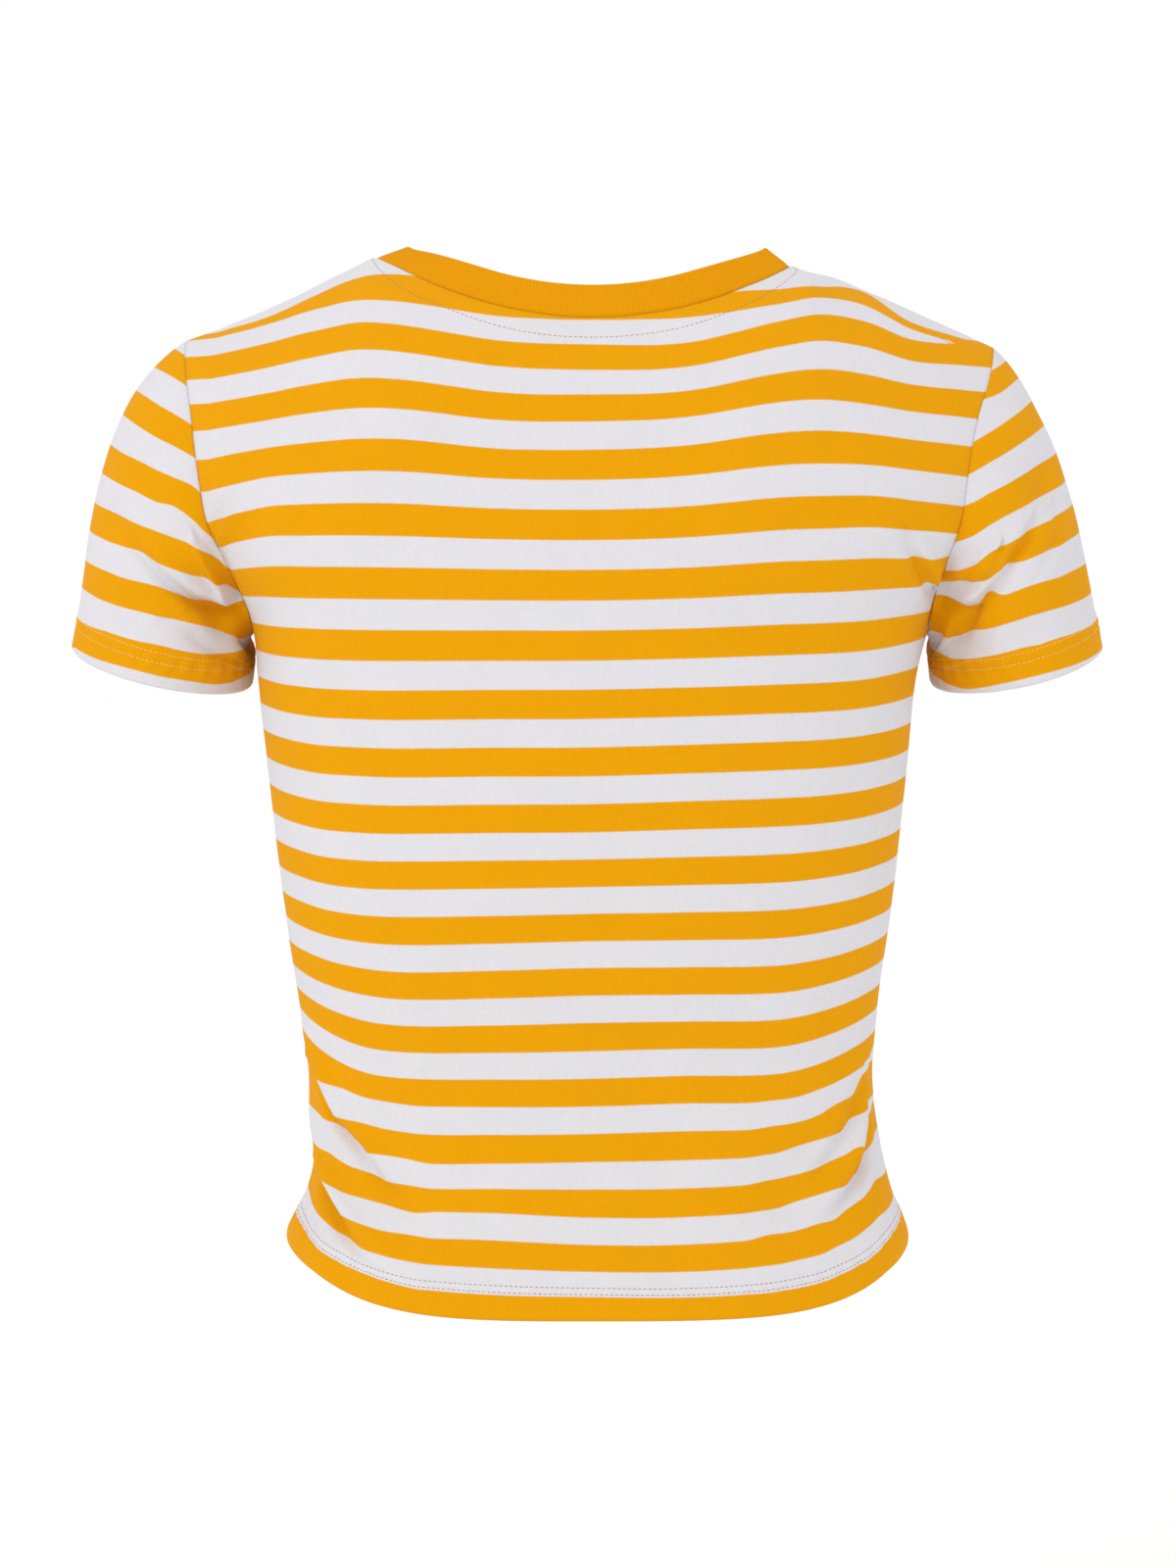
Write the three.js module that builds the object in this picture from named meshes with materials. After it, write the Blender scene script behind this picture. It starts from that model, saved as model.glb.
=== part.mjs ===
// A short-sleeved cropped T-shirt in striped cotton jersey, in the hollow form that it takes when worn.
// Units are millimetres. +Z is up, the front faces -Y and +X is the wearer's left.
// The origin lies midway between the two points where the neck seam crosses the shoulder seams.
import * as THREE from "three";

// Cloth and seams
const jerseyWall = 1.2;
const hemWall = 2.0; // the hems are turned up, so their wall is double
const ribWall = 2.4; // the neckband is folded double
const seamGap = 0.3;
const mitreLimit = 1.5;

// Lengths of the garment
const neckHalfWidth = 96; // from the centre to the neck end of a shoulder seam
const backNeckDrop = 31;
const frontNeckDrop = 84;
const neckCurve = { back: { power: 2.05, round: 1 }, front: { power: 2.1, round: 0.62 } };
const shoulderTip = { x: 180, leftZ: -36, rightZ: -37 };
const neckTilt = 1.5; // the wearer's left neck point stands this much above the origin and the right below
const shoulderSag = 0.8; // how far the shoulder seams hang below a straight line
const shoulderSeamY = -5;
const underarmZ = -166;
const neckbandWidth = 15.5;
const neckbandLean = { front: 14, side: 22, back: 60 }; // degrees above the level
const bodyHemDepth = 16;
const sleeveHemDepth = 16;

// Sections of the body form: half widths on the wearer's left and right, and depths behind and before
// the side line. Above the underarm the widths are those of the form that runs on into the arm.
const bodySections = [
  { z: -475, left: 133.5, right: 149.0, back: 95, front: 104 },
  { z: -446, left: 134.8, right: 141.0, back: 91, front: 101 },
  { z: -434, left: 137.2, right: 143.0, back: 87, front: 98 },
  { z: -421, left: 130.5, right: 138.4, back: 81, front: 95 },
  { z: -405, left: 125.3, right: 133.4, back: 76, front: 92 },
  { z: -384, left: 125.5, right: 129.6, back: 74, front: 90 },
  { z: -360, left: 128.2, right: 126.8, back: 75, front: 91 },
  { z: -330, left: 131.7, right: 129.6, back: 79, front: 95 },
  { z: -290, left: 137.0, right: 135.0, back: 85, front: 104 },
  { z: -240, left: 143.2, right: 140.5, back: 92, front: 116 },
  { z: -200, left: 147.4, right: 145.4, back: 96, front: 120 },
  { z: -166, left: 150.0, right: 150.0, back: 98, front: 115 },
  { z: -150, left: 157.5, right: 156.5, back: 98, front: 111 },
  { z: -135, left: 171.0, right: 170.0, back: 98, front: 107 },
  { z: -118, left: 182.0, right: 181.5, back: 98, front: 103 },
  { z: -95, left: 190.0, right: 190.0, back: 97, front: 97 },
  { z: -60, left: 197.0, right: 197.0, back: 96, front: 88 },
  { z: 10, left: 202.0, right: 202.0, back: 96, front: 80 },
];
// The powers of the superellipse that each section is cut to: a higher one is flatter, with tighter turns.
const fullness = [
  { z: -460, back: 2.75, front: 2.6 },
  { z: -380, back: 2.6, front: 2.4 },
  { z: -250, back: 2.45, front: 2.3 },
  { z: 10, back: 2.45, front: 2.3 },
];

// Rings of the lower body, from the hem to the underarm: their heights at the centre back, the centre
// front and the two side seams
const rings = [
  { z: -458, front: -455, left: -436.5, right: -439.5 },
  { z: -410, front: -408, left: -401, right: -402 },
  { z: -360, front: -359, left: -355, right: -356 },
  { z: -300, front: -300, left: -296.5, right: -296.5 },
  { z: -230, front: -229, left: -226, right: -225.5 },
  { z: -172, front: -170, left: -166, right: -166 },
];
const risePower = 4; // how late each ring climbs towards the side seam

// The roll of the form over the shoulders: how far below the top line it turns upright.
const shoulderRoll = {
  back: { centre: 150, perMillimetre: -0.3 },
  front: { centre: 190, perMillimetre: -0.4 },
};
const topLineAtCentre = 6; // the top line's height over the neck, where it is cut away

// Armholes: how far out the seam runs at each height, behind and before each arm
const armhole = [
  { z: -166, leftBack: 150.0, rightBack: 150.0, front: 150.0 },
  { z: -157, leftBack: 151.6, rightBack: 151.0, front: 150.5 },
  { z: -147, leftBack: 155.5, rightBack: 153.2, front: 151.5 },
  { z: -133, leftBack: 161.0, rightBack: 156.5, front: 154.5 },
  { z: -118, leftBack: 166.0, rightBack: 160.0, front: 157.5 },
  { z: -102, leftBack: 168.8, rightBack: 162.3, front: 160.5 },
  { z: -86, leftBack: 171.5, rightBack: 164.7, front: 164.0 },
  { z: -70, leftBack: 174.0, rightBack: 168.6, front: 168.5 },
  { z: -53, leftBack: 177.3, rightBack: 174.8, front: 174.5 },
  { z: -36, leftBack: 180.0, rightBack: 180.0, front: 180.0 },
];

const armholeTopZ = armhole[armhole.length - 1].z;

// Sleeves: the cuff's centre, its half sizes, and the lean of its axis outwards and forwards
const cuff = { y: -11, z: -180.8, halfDepth: 50, outwardLean: 14, forwardLean: 11 };
const sleeves = {
  left: { side: 1, cuffX: 193.3, cuffHalfWidth: 41, capAngle: 36, capPull: 0.38, cuffPull: 0.29 },
  right: { side: -1, cuffX: 193.2, cuffHalfWidth: 39.5, capAngle: 41, capPull: 0.35, cuffPull: 0.23 },
};

// The largest folds: a soft ridge (or, with a negative height, a trough) along a line in space
const folds = [
  { name: "left armpit drag", from: [166, 40, -150], to: [207, 30, -118], width: 9, height: -3.5 },
  { name: "left armpit tuck", from: [158, 26, -168], to: [186, 34, -152], width: 8, height: -3.0 },
  { name: "right armpit drag", from: [-160, 38, -150], to: [-206, 34, -96], width: 9, height: -3.5 },
  { name: "right armpit tuck", from: [-156, 30, -168], to: [-190, 36, -140], width: 9, height: -4.0 },
  { name: "right sleeve break", from: [-176, 42, -172], to: [-205, 38, -120], width: 8, height: 2.5 },
  { name: "left back armhole fold", from: [162, 52, -140], to: [146, 72, -112], width: 9, height: -2.5 },
  { name: "right back armhole fold", from: [-160, 52, -142], to: [-142, 74, -122], width: 8, height: -3.0 },
  { name: "left waist drag", from: [128, 14, -362], to: [78, 70, -424], width: 12, height: -4.0 },
  { name: "left hem tuck", from: [129, 12, -404], to: [96, 60, -436], width: 11, height: -3.5 },
  { name: "right waist drag", from: [-126, 14, -362], to: [-84, 68, -408], width: 12, height: -3.5 },
  { name: "right hem tuck", from: [-132, 10, -384], to: [-84, 66, -430], width: 11, height: -3.5 },
  { name: "left front waist drag", from: [128, -14, -366], to: [82, -82, -410], width: 13, height: -3.5 },
  { name: "right front waist drag", from: [-127, -14, -372], to: [-76, -84, -420], width: 12, height: -3.5 },
  { name: "left front armhole fold", from: [154, -50, -140], to: [128, -92, -176], width: 10, height: -2.5 },
  { name: "right front armhole fold", from: [-153, -48, -142], to: [-124, -94, -170], width: 10, height: -3.0 },
  { name: "left front sleeve drag", from: [158, -34, -160], to: [204, -46, -116], width: 9, height: -3.0 },
  { name: "right front sleeve drag", from: [-158, -34, -160], to: [-203, -48, -124], width: 9, height: -3.0 },
];

// Mesh density
const lowerRows = 20;
const upperRows = 15;
const neckColumns = 8; // on each side of the centre
const shoulderColumns = 7;
const bandRows = [0, 0.45, 0.92, 1]; // shares of the neckband's width
const sleeveRows = 12;

const radians = THREE.MathUtils.degToRad;
const lerp = THREE.MathUtils.lerp;
const clamp = THREE.MathUtils.clamp;

// A smooth curve through one named column of a table, read by height
function readTable(table, column, z) {
  const rows = table[0].z < table[table.length - 1].z ? table : [...table].reverse();
  const at = clamp(z, rows[0].z, rows[rows.length - 1].z);
  let i = 0;
  while (i < rows.length - 2 && at > rows[i + 1].z) i += 1;
  const slope = (k) => {
    const low = rows[Math.max(k - 1, 0)];
    const high = rows[Math.min(k + 1, rows.length - 1)];
    return (high[column] - low[column]) / (high.z - low.z);
  };
  const span = rows[i + 1].z - rows[i].z;
  const t = (at - rows[i].z) / span;
  const t2 = t * t;
  const t3 = t2 * t;
  return (
    (2 * t3 - 3 * t2 + 1) * rows[i][column] +
    (t3 - 2 * t2 + t) * span * slope(i) +
    (3 * t2 - 2 * t3) * rows[i + 1][column] +
    (t3 - t2) * span * slope(i + 1)
  );
}

const halfWidth = (x, z) => readTable(bodySections, x < 0 ? "right" : "left", z);

// The height of the shoulders' top line over a place across the body
function topLine(x) {
  const across = Math.abs(x);
  const tilt = neckTilt * clamp(x / neckHalfWidth, -1, 1);
  if (across < neckHalfWidth) return tilt + topLineAtCentre * (1 - (across / neckHalfWidth) ** 2);
  const along = (across - neckHalfWidth) / (shoulderTip.x - neckHalfWidth);
  const tipZ = x < 0 ? shoulderTip.rightZ : shoulderTip.leftZ;
  return lerp(tilt, tipZ, along) - shoulderSag * Math.sin(Math.PI * clamp(along, 0, 1));
}

// The body form: the depth of its back or front at a place in the front view
function formDepth(panel, x, z) {
  const power = readTable(fullness, panel, z);
  const outward = Math.min(Math.abs(x) / halfWidth(x, z), 1);
  const section = readTable(bodySections, panel, z) * (1 - outward ** power) ** (1 / power);
  const roll = shoulderRoll[panel];
  const rollDepth = roll.centre + roll.perMillimetre * Math.abs(x);
  const below = clamp((topLine(x) - z) / rollDepth, 0, 1);
  const turned = Math.sqrt(1 - (1 - below) ** 2);
  const sideLine = shoulderSeamY * (1 - below);
  return sideLine + (panel === "back" ? 1 : -1) * section * turned;
}

const onForm = (panel, x, z) => new THREE.Vector3(x, formDepth(panel, x, z), z);

// Columns run from the centre to the side, closer together towards it
const halfColumns = neckColumns + shoulderColumns;
const columnShare = (i) => Math.sin((Math.PI / 2) * (i / halfColumns));

// One point of a panel's lower part. Side is 1 for the wearer's left and -1 for the right.
function lowerPoint(panel, side, i, row) {
  const backZ = lerp(rings[0].z, rings[rings.length - 1].z, row / lowerRows);
  const centreZ = panel === "back" ? backZ : readTable(rings, "front", backZ);
  const sideZ = readTable(rings, side < 0 ? "right" : "left", backZ);
  const outward = columnShare(i);
  const x = side * halfWidth(side, sideZ) * outward;
  const z = lerp(centreZ, sideZ, outward ** risePower);
  return onForm(panel, x, z);
}

// The panel's top edge, from the centre along the neck and the shoulder seam to the shoulder tip
function topEdge(panel, side, i) {
  const drop = panel === "back" ? backNeckDrop : frontNeckDrop;
  if (i <= neckColumns) {
    const turn = (Math.PI / 2) * (i / neckColumns);
    const x = side * neckHalfWidth * Math.sin(turn) ** 0.9;
    const fall = drop * (1 - Math.abs(x / neckHalfWidth) ** neckCurve[panel].power);
    return { x, z: (neckTilt * x) / neckHalfWidth - drop * (fall / drop) ** neckCurve[panel].round };
  }
  const share = (i - neckColumns) / shoulderColumns;
  const x = lerp(neckHalfWidth, shoulderTip.x, share);
  return { x: side * x, z: topLine(side * x) };
}

// Rows of the upper part lie closer together towards the underarm and the shoulder
function upperClimb(row) {
  const share = row / upperRows;
  return lerp(share, (1 - Math.cos(Math.PI * share)) / 2, 0.7);
}

// One point of a panel's upper part, between the underarm ring, the armhole, the neck and the shoulder
function upperPoint(panel, side, i, row) {
  const climb = upperClimb(row);
  const outward = i / halfColumns;
  const low = lowerPoint(panel, side, i, lowerRows);
  const lowEnd = lowerPoint(panel, side, halfColumns, lowerRows);
  const top = topEdge(panel, side, i);
  const topEnd = topEdge(panel, side, halfColumns);
  const endZ = lerp(underarmZ, topEnd.z, climb);
  const armholeColumn = panel === "front" ? "front" : side < 0 ? "rightBack" : "leftBack";
  const endX = side * readTable(armhole, armholeColumn, lerp(underarmZ, armholeTopZ, climb));
  const centreZ = lerp(lowerPoint(panel, side, 0, lowerRows).z, topEdge(panel, side, 0).z, climb);
  // Coons blend of the four edges in the front view
  const x =
    lerp(low.x, top.x, climb) + outward * (endX - lerp(lowEnd.x, topEnd.x, climb));
  const straightZ = lerp(
    lerp(lowerPoint(panel, side, 0, lowerRows).z, topEdge(panel, side, 0).z, climb),
    lerp(lowEnd.z, topEnd.z, climb),
    outward,
  );
  const z = lerp(low.z, top.z, climb) + lerp(centreZ, endZ, outward) - straightZ;
  return onForm(panel, x, z);
}

function panelGrid(panel) {
  const grid = [];
  for (let row = 0; row <= lowerRows + upperRows; row += 1) {
    const line = [];
    for (let i = -halfColumns; i <= halfColumns; i += 1) {
      const side = i < 0 ? -1 : 1;
      const column = Math.abs(i);
      line.push(
        row <= lowerRows
          ? lowerPoint(panel, side, column, row)
          : upperPoint(panel, side, column, row - lowerRows),
      );
    }
    grid.push(line);
  }
  return grid;
}

// The armhole seam as a ring of points from the underarm up the back to the tip and down the front
function armholeRing(grids, side) {
  const column = side > 0 ? 2 * halfColumns : 0;
  const ring = [];
  for (let row = 0; row < upperRows; row += 1) ring.push(grids.back[lowerRows + row][column].clone());
  for (let row = upperRows; row > 0; row -= 1) ring.push(grids.front[lowerRows + row][column].clone());
  return ring;
}

function sleeveGrid(grids, sleeve) {
  const { side } = sleeve;
  const ring = armholeRing(grids, side);
  const outwardLean = radians(cuff.outwardLean);
  const forwardLean = radians(cuff.forwardLean);
  const across = new THREE.Vector3(side * Math.cos(outwardLean), 0, Math.sin(outwardLean));
  const axis = new THREE.Vector3(
    side * Math.sin(outwardLean),
    -Math.tan(forwardLean),
    -Math.cos(outwardLean),
  ).normalize();
  const behind = new THREE.Vector3().crossVectors(across, axis).normalize();
  if (behind.y < 0) behind.negate();
  const centre = new THREE.Vector3(side * sleeve.cuffX, cuff.y, cuff.z);
  const capSlope = radians(sleeve.capAngle);
  const overShoulder = new THREE.Vector3(side * Math.cos(capSlope), 0, -Math.sin(capSlope));
  const underArm = new THREE.Vector3(side * 0.9, 0, -0.44);
  const columns = ring.map((start, k) => {
    const turn = Math.PI * (1 - k / upperRows);
    const end = centre
      .clone()
      .addScaledVector(across, sleeve.cuffHalfWidth * Math.cos(turn))
      .addScaledVector(behind, cuff.halfDepth * Math.sin(turn));
    const low = (1 - Math.cos(turn)) / 2;
    const leave = overShoulder.clone().lerp(underArm, low).normalize();
    leave.y += 0.12 * Math.sin(turn);
    const span = start.distanceTo(end);
    return new THREE.CubicBezierCurve3(
      start,
      start.clone().addScaledVector(leave, sleeve.capPull * span),
      end.clone().addScaledVector(axis, -sleeve.cuffPull * span),
      end,
    );
  });
  const grid = [];
  for (let row = 0; row <= sleeveRows; row += 1) {
    grid.push(columns.map((curve) => curve.getPoint(row / sleeveRows)));
  }
  return grid;
}

// The neck seam as a ring of points round the back and on round the front
function neckRing(grids) {
  const top = lowerRows + upperRows;
  const ring = [];
  for (let i = -neckColumns; i < neckColumns; i += 1) ring.push(grids.back[top][halfColumns + i].clone());
  for (let i = neckColumns; i > -neckColumns; i -= 1) ring.push(grids.front[top][halfColumns + i].clone());
  return ring;
}

// The neckband leans in over the neck from its seam up to its folded top edge.
function neckbandGrid(grids) {
  const ring = neckRing(grids);
  const count = ring.length;
  const grid = bandRows.map(() => []);
  ring.forEach((point, k) => {
    const along = ring[(k + 1) % count].clone().sub(ring[(k + count - 1) % count]);
    const inward = new THREE.Vector3(along.y, -along.x, 0).normalize();
    if (inward.dot(point) > 0) inward.negate();
    const behind = Math.sin(Math.atan2(point.y, point.x));
    const middle = behind > 0 ? neckbandLean.back : neckbandLean.front;
    const lean = radians(lerp(neckbandLean.side, middle, behind ** 2));
    const heading = inward.multiplyScalar(Math.cos(lean));
    heading.z = Math.sin(lean);
    bandRows.forEach((share, row) => {
      grid[row].push(point.clone().addScaledVector(heading, neckbandWidth * share));
    });
  });
  return grid;
}

const at = (grid, row, column, wrap) => {
  const count = grid[0].length;
  const j = clamp(row, 0, grid.length - 1);
  const i = wrap ? (column + count) % count : clamp(column, 0, count - 1);
  return grid[j][i];
};

// Outward normals of a grid by central differences. Facing is 1 or -1, by the way its rows run.
function gridNormals(piece) {
  return piece.grid.map((line, row) =>
    line.map((_, column) => {
      const up = at(piece.grid, row + 1, column, piece.wrap)
        .clone()
        .sub(at(piece.grid, row - 1, column, piece.wrap));
      const along = at(piece.grid, row, column + 1, piece.wrap)
        .clone()
        .sub(at(piece.grid, row, column - 1, piece.wrap));
      return along.cross(up).multiplyScalar(piece.facing).normalize();
    }),
  );
}

const placeKey = (point) => point.toArray().map((value) => Math.round(value * 200)).join(",");

// Where pieces meet, they share one normal, so that their edges stay parallel.
function sharedNormals(pieces) {
  const own = pieces.map(gridNormals);
  const sums = new Map();
  pieces.forEach((piece, p) =>
    piece.grid.forEach((line, row) =>
      line.forEach((point, column) => {
        const key = placeKey(point);
        if (!sums.has(key)) sums.set(key, new THREE.Vector3());
        sums.get(key).add(own[p][row][column]);
      }),
    ),
  );
  return pieces.map((piece, p) =>
    piece.grid.map((line, row) =>
      line.map((point, column) => ({
        own: own[p][row][column],
        shared: sums.get(placeKey(point)).clone().normalize(),
      })),
    ),
  );
}

// How far the folds lift the cloth at a point
function foldHeight(point) {
  let height = 0;
  for (const fold of folds) {
    const line = new THREE.Line3(new THREE.Vector3(...fold.from), new THREE.Vector3(...fold.to));
    const along = line.closestPointToPointParameter(point, false);
    const past = Math.max(0, -along, along - 1) * line.distance();
    const off = point.distanceTo(line.at(clamp(along, 0, 1), new THREE.Vector3()));
    const fade = Math.cos((Math.PI / 2) * clamp(Math.abs(along - 0.5), 0, 1)) ** 0.5;
    height += past > 2 * fold.width ? 0 : fold.height * fade * Math.exp(-((off / fold.width) ** 2));
  }
  return height;
}

function addFolds(pieces) {
  const normals = sharedNormals(pieces);
  pieces.forEach((piece, p) => {
    piece.grid = piece.grid.map((line, row) =>
      line.map((point, column) =>
        point.clone().addScaledVector(normals[p][row][column].shared, foldHeight(point)),
      ),
    );
  });
}

// A seam edge steps back by half the gap, square to the seam and its shared normal.
function stepBack(piece, normal, row, column) {
  const { grid, wrap, seams } = piece;
  const lastRow = grid.length - 1;
  const lastColumn = grid[0].length - 1;
  const point = grid[row][column];
  const shift = new THREE.Vector3();
  const add = (before, after, inland) => {
    const square = after.clone().sub(before).cross(normal).normalize();
    if (square.dot(inland.clone().sub(point)) < 0) square.negate();
    shift.addScaledVector(square, seamGap / 2);
  };
  const beside = (j, i) => at(grid, j, i, wrap);
  if (row === 0 && seams.start) add(beside(row, column - 1), beside(row, column + 1), grid[1][column]);
  if (row === lastRow && seams.end) {
    add(beside(row, column - 1), beside(row, column + 1), grid[row - 1][column]);
  }
  if (!wrap && seams.sides && column === 0) add(beside(row - 1, 0), beside(row + 1, 0), grid[row][1]);
  if (!wrap && seams.sides && column === lastColumn) {
    add(beside(row - 1, column), beside(row + 1, column), grid[row][column - 1]);
  }
  return shift;
}

function isLower(a, b) {
  const step = a.clone().sub(b);
  return [step.z, step.x, step.y].find((value) => Math.abs(value) > 1e-6) < 0;
}

// A piece as a closed wall: its outer grid, the same grid moved in by the wall, and the rims between.
function wallGeometry(piece, normals) {
  const { grid, wrap, wall, inset, facing } = piece;
  const rows = grid.length;
  const columns = grid[0].length;
  const positions = [];
  for (const layer of ["outer", "inner"]) {
    for (let row = 0; row < rows; row += 1) {
      for (let column = 0; column < columns; column += 1) {
        const { own, shared } = normals[row][column];
        const mitre = Math.min(1 / Math.max(own.dot(shared), 0.1), mitreLimit);
        const sunk = inset ? inset(row) : 0;
        const depth = layer === "outer" ? sunk : sunk + wall(row) * mitre;
        const point = grid[row][column]
          .clone()
          .add(stepBack(piece, shared, row, column))
          .addScaledVector(shared, -depth);
        positions.push(...point.toArray());
      }
    }
  }
  const outer = (row, column) => row * columns + (column % columns);
  const inner = (row, column) => rows * columns + outer(row, column);
  const index = [];
  const quad = (a, b, c, d) => {
    if (facing > 0) index.push(a, b, c, a, c, d);
    else index.push(a, c, b, a, d, c);
  };
  const lastColumn = wrap ? columns : columns - 1;
  for (let row = 0; row < rows - 1; row += 1) {
    for (let column = 0; column < lastColumn; column += 1) {
      quad(outer(row, column), outer(row, column + 1), outer(row + 1, column + 1), outer(row + 1, column));
      quad(inner(row, column), inner(row + 1, column), inner(row + 1, column + 1), inner(row, column + 1));
    }
  }
  // Rims on the two sides of a seam split on the same diagonal, from the lower of the two points.
  const rim = (fromRow, fromColumn, toRow, toColumn) => {
    const a = grid[fromRow][fromColumn % columns];
    const b = grid[toRow][toColumn % columns];
    const ends = [outer(fromRow, fromColumn), outer(toRow, toColumn)];
    const inners = [inner(fromRow, fromColumn), inner(toRow, toColumn)];
    if (isLower(a, b)) quad(inners[1], ends[1], ends[0], inners[0]);
    else quad(inners[0], inners[1], ends[1], ends[0]);
  };
  for (let column = 0; column < lastColumn; column += 1) {
    rim(0, column, 0, column + 1);
    rim(rows - 1, column + 1, rows - 1, column);
  }
  if (!wrap) {
    for (let row = 0; row < rows - 1; row += 1) {
      rim(row + 1, 0, row, 0);
      rim(row, columns - 1, row + 1, columns - 1);
    }
  }
  const geometry = new THREE.BufferGeometry();
  geometry.setAttribute("position", new THREE.Float32BufferAttribute(positions, 3));
  geometry.setIndex(index);
  geometry.computeVertexNormals();
  return geometry;
}

const grids = { back: panelGrid("back"), front: panelGrid("front") };
const hemRows = (depth, rowLength) => Math.max(1, Math.round(depth / rowLength));
const bodyHemRows = hemRows(bodyHemDepth, (underarmZ - rings[0].z) / lowerRows);
const bodyWall = (row) => (row <= bodyHemRows ? hemWall : jerseyWall);
const sleeveHemRows = 2;
const sleeveWall = (row) => (row >= sleeveRows - sleeveHemRows ? hemWall : jerseyWall);

const stripedJersey = new THREE.MeshStandardMaterial({ color: 0xefa200, roughness: 0.9, metalness: 0 });
const ribKnit = new THREE.MeshStandardMaterial({ color: 0xe89b00, roughness: 0.92, metalness: 0 });

const panelSeams = { end: true, sides: true };
const pieces = [
  { name: "back", grid: grids.back, facing: -1, seams: panelSeams, wall: bodyWall, material: stripedJersey },
  { name: "front", grid: grids.front, facing: 1, seams: panelSeams, wall: bodyWall, material: stripedJersey },
];
for (const [name, sleeve] of Object.entries(sleeves)) {
  pieces.push({
    name: `sleeve_${name}`,
    grid: sleeveGrid(grids, sleeve),
    wrap: true,
    facing: sleeve.side,
    seams: { start: true },
    wall: sleeveWall,
    material: stripedJersey,
  });
}
const foldedEdge = 0.6; // the band's top edge is rounded by this much on each face
pieces.push({
  name: "neckband",
  grid: neckbandGrid(grids),
  wrap: true,
  facing: -1,
  seams: { start: true },
  wall: (row) => (row === 3 ? ribWall - 2 * foldedEdge : ribWall),
  inset: (row) => (row === 3 ? foldedEdge : 0),
  material: ribKnit,
});

addFolds(pieces);
const normals = sharedNormals(pieces);
const garment = new THREE.Group();
pieces.forEach((piece, p) => {
  const mesh = new THREE.Mesh(wallGeometry(piece, normals[p]), piece.material);
  mesh.name = piece.name;
  garment.add(mesh);
});

export default garment;
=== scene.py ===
import math

import bmesh
import bpy
import numpy as np
from mathutils import Matrix, Vector, noise


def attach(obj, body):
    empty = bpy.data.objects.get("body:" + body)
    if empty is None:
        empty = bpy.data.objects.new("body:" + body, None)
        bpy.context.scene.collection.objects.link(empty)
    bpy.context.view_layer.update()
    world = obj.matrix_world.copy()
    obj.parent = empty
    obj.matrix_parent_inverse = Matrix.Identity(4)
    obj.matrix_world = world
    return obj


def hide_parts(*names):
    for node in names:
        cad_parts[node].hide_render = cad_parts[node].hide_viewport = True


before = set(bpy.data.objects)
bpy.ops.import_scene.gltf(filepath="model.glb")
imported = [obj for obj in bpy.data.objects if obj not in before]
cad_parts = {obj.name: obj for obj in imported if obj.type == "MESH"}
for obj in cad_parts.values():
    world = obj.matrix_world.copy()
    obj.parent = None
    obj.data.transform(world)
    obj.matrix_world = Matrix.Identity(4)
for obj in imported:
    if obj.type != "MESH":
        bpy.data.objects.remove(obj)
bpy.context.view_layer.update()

# A short-sleeved cropped top in striped jersey. Sizes are millimetres until a mesh is made.
# +Z is up, the wearer's front faces -Y, and +X is the wearer's left.
millimetre = 0.001

# The worn form: the solids' sizes, corrected at the sides, the shoulder tips and the sleeves
shoulders = {
    "neckHalfWidth": 96,
    "tipX": 180,
    "leftTipZ": -35.2,
    "rightTipZ": -38.5,
    "neckTilt": 0.7,
    "leftSag": 1.6,
    "rightSag": 1.0,
    "seamY": -5,
    "centreZ": 6,  # the top line over the neck, where it is cut away
}
necklines = {  # drop below the neck points, power of the curve, and how round it is
    "back": {"drop": 31, "power": 2.05, "round": 1},
    "front": {"drop": 84, "power": 2.1, "round": 0.62},
}
sections = [  # height, half width on the left and on the right, depth of the back and of the front
    (-475, 133.5, 149.0, 95, 104),
    (-446, 133.0, 141.0, 91, 101),
    (-434, 135.2, 142.4, 87, 98),
    (-421, 129.6, 137.4, 81, 95),
    (-405, 125.6, 132.9, 76, 92),
    (-384, 126.5, 130.2, 74, 90),
    (-360, 128.8, 128.2, 75, 91),
    (-330, 130.9, 128.8, 79, 95),
    (-290, 136.0, 134.7, 85, 104),
    (-240, 142.2, 140.3, 92, 116),
    (-200, 146.6, 143.6, 96, 120),
    (-184, 148.1, 145.4, 97, 118),
    (-166, 150.0, 150.0, 98, 115),
    (-150, 157.5, 156.5, 98, 111),
    (-135, 171.0, 170.0, 98, 107),
    (-118, 182.0, 181.5, 98, 103),
    (-95, 190.0, 190.0, 97, 97),
    (-60, 197.0, 197.0, 96, 88),
    (10, 202.0, 202.0, 96, 80),
]
sectionColumn = {"left": 1, "right": 2, "back": 3, "front": 4}
fullness = [(-460, 2.75, 2.6), (-380, 2.6, 2.4), (-250, 2.45, 2.3), (10, 2.45, 2.3)]  # height, back, front
rings = [  # rings of the lower body: height at the centre back, centre front, left and right side
    (-458, -455, -436.5, -438),
    (-410, -408, -401, -402),
    (-360, -359, -355, -356),
    (-300, -300, -296.5, -296.5),
    (-230, -229, -226, -225.5),
    (-172, -170, -166, -166),
]
ringRise = {"left": 4.2, "right": 5}  # how late a ring climbs towards the side seam
shoulderRoll = {"back": (150, -0.3), "front": (190, -0.4)}  # depth of the roll at the centre, and its change
underarmZ = -166
armhole = [  # height, how far out the seam runs at the left back, the right back and the front
    (-166, 150.0, 150.0, 150.0),
    (-157, 151.6, 151.0, 150.5),
    (-147, 155.5, 153.2, 151.5),
    (-133, 161.0, 156.5, 154.5),
    (-118, 166.0, 160.0, 157.5),
    (-102, 168.8, 162.3, 160.5),
    (-86, 171.5, 164.7, 164.0),
    (-70, 174.0, 168.6, 168.5),
    (-53, 177.3, 174.8, 174.5),
    (-36, 180.0, 180.0, 180.0),
]
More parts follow.
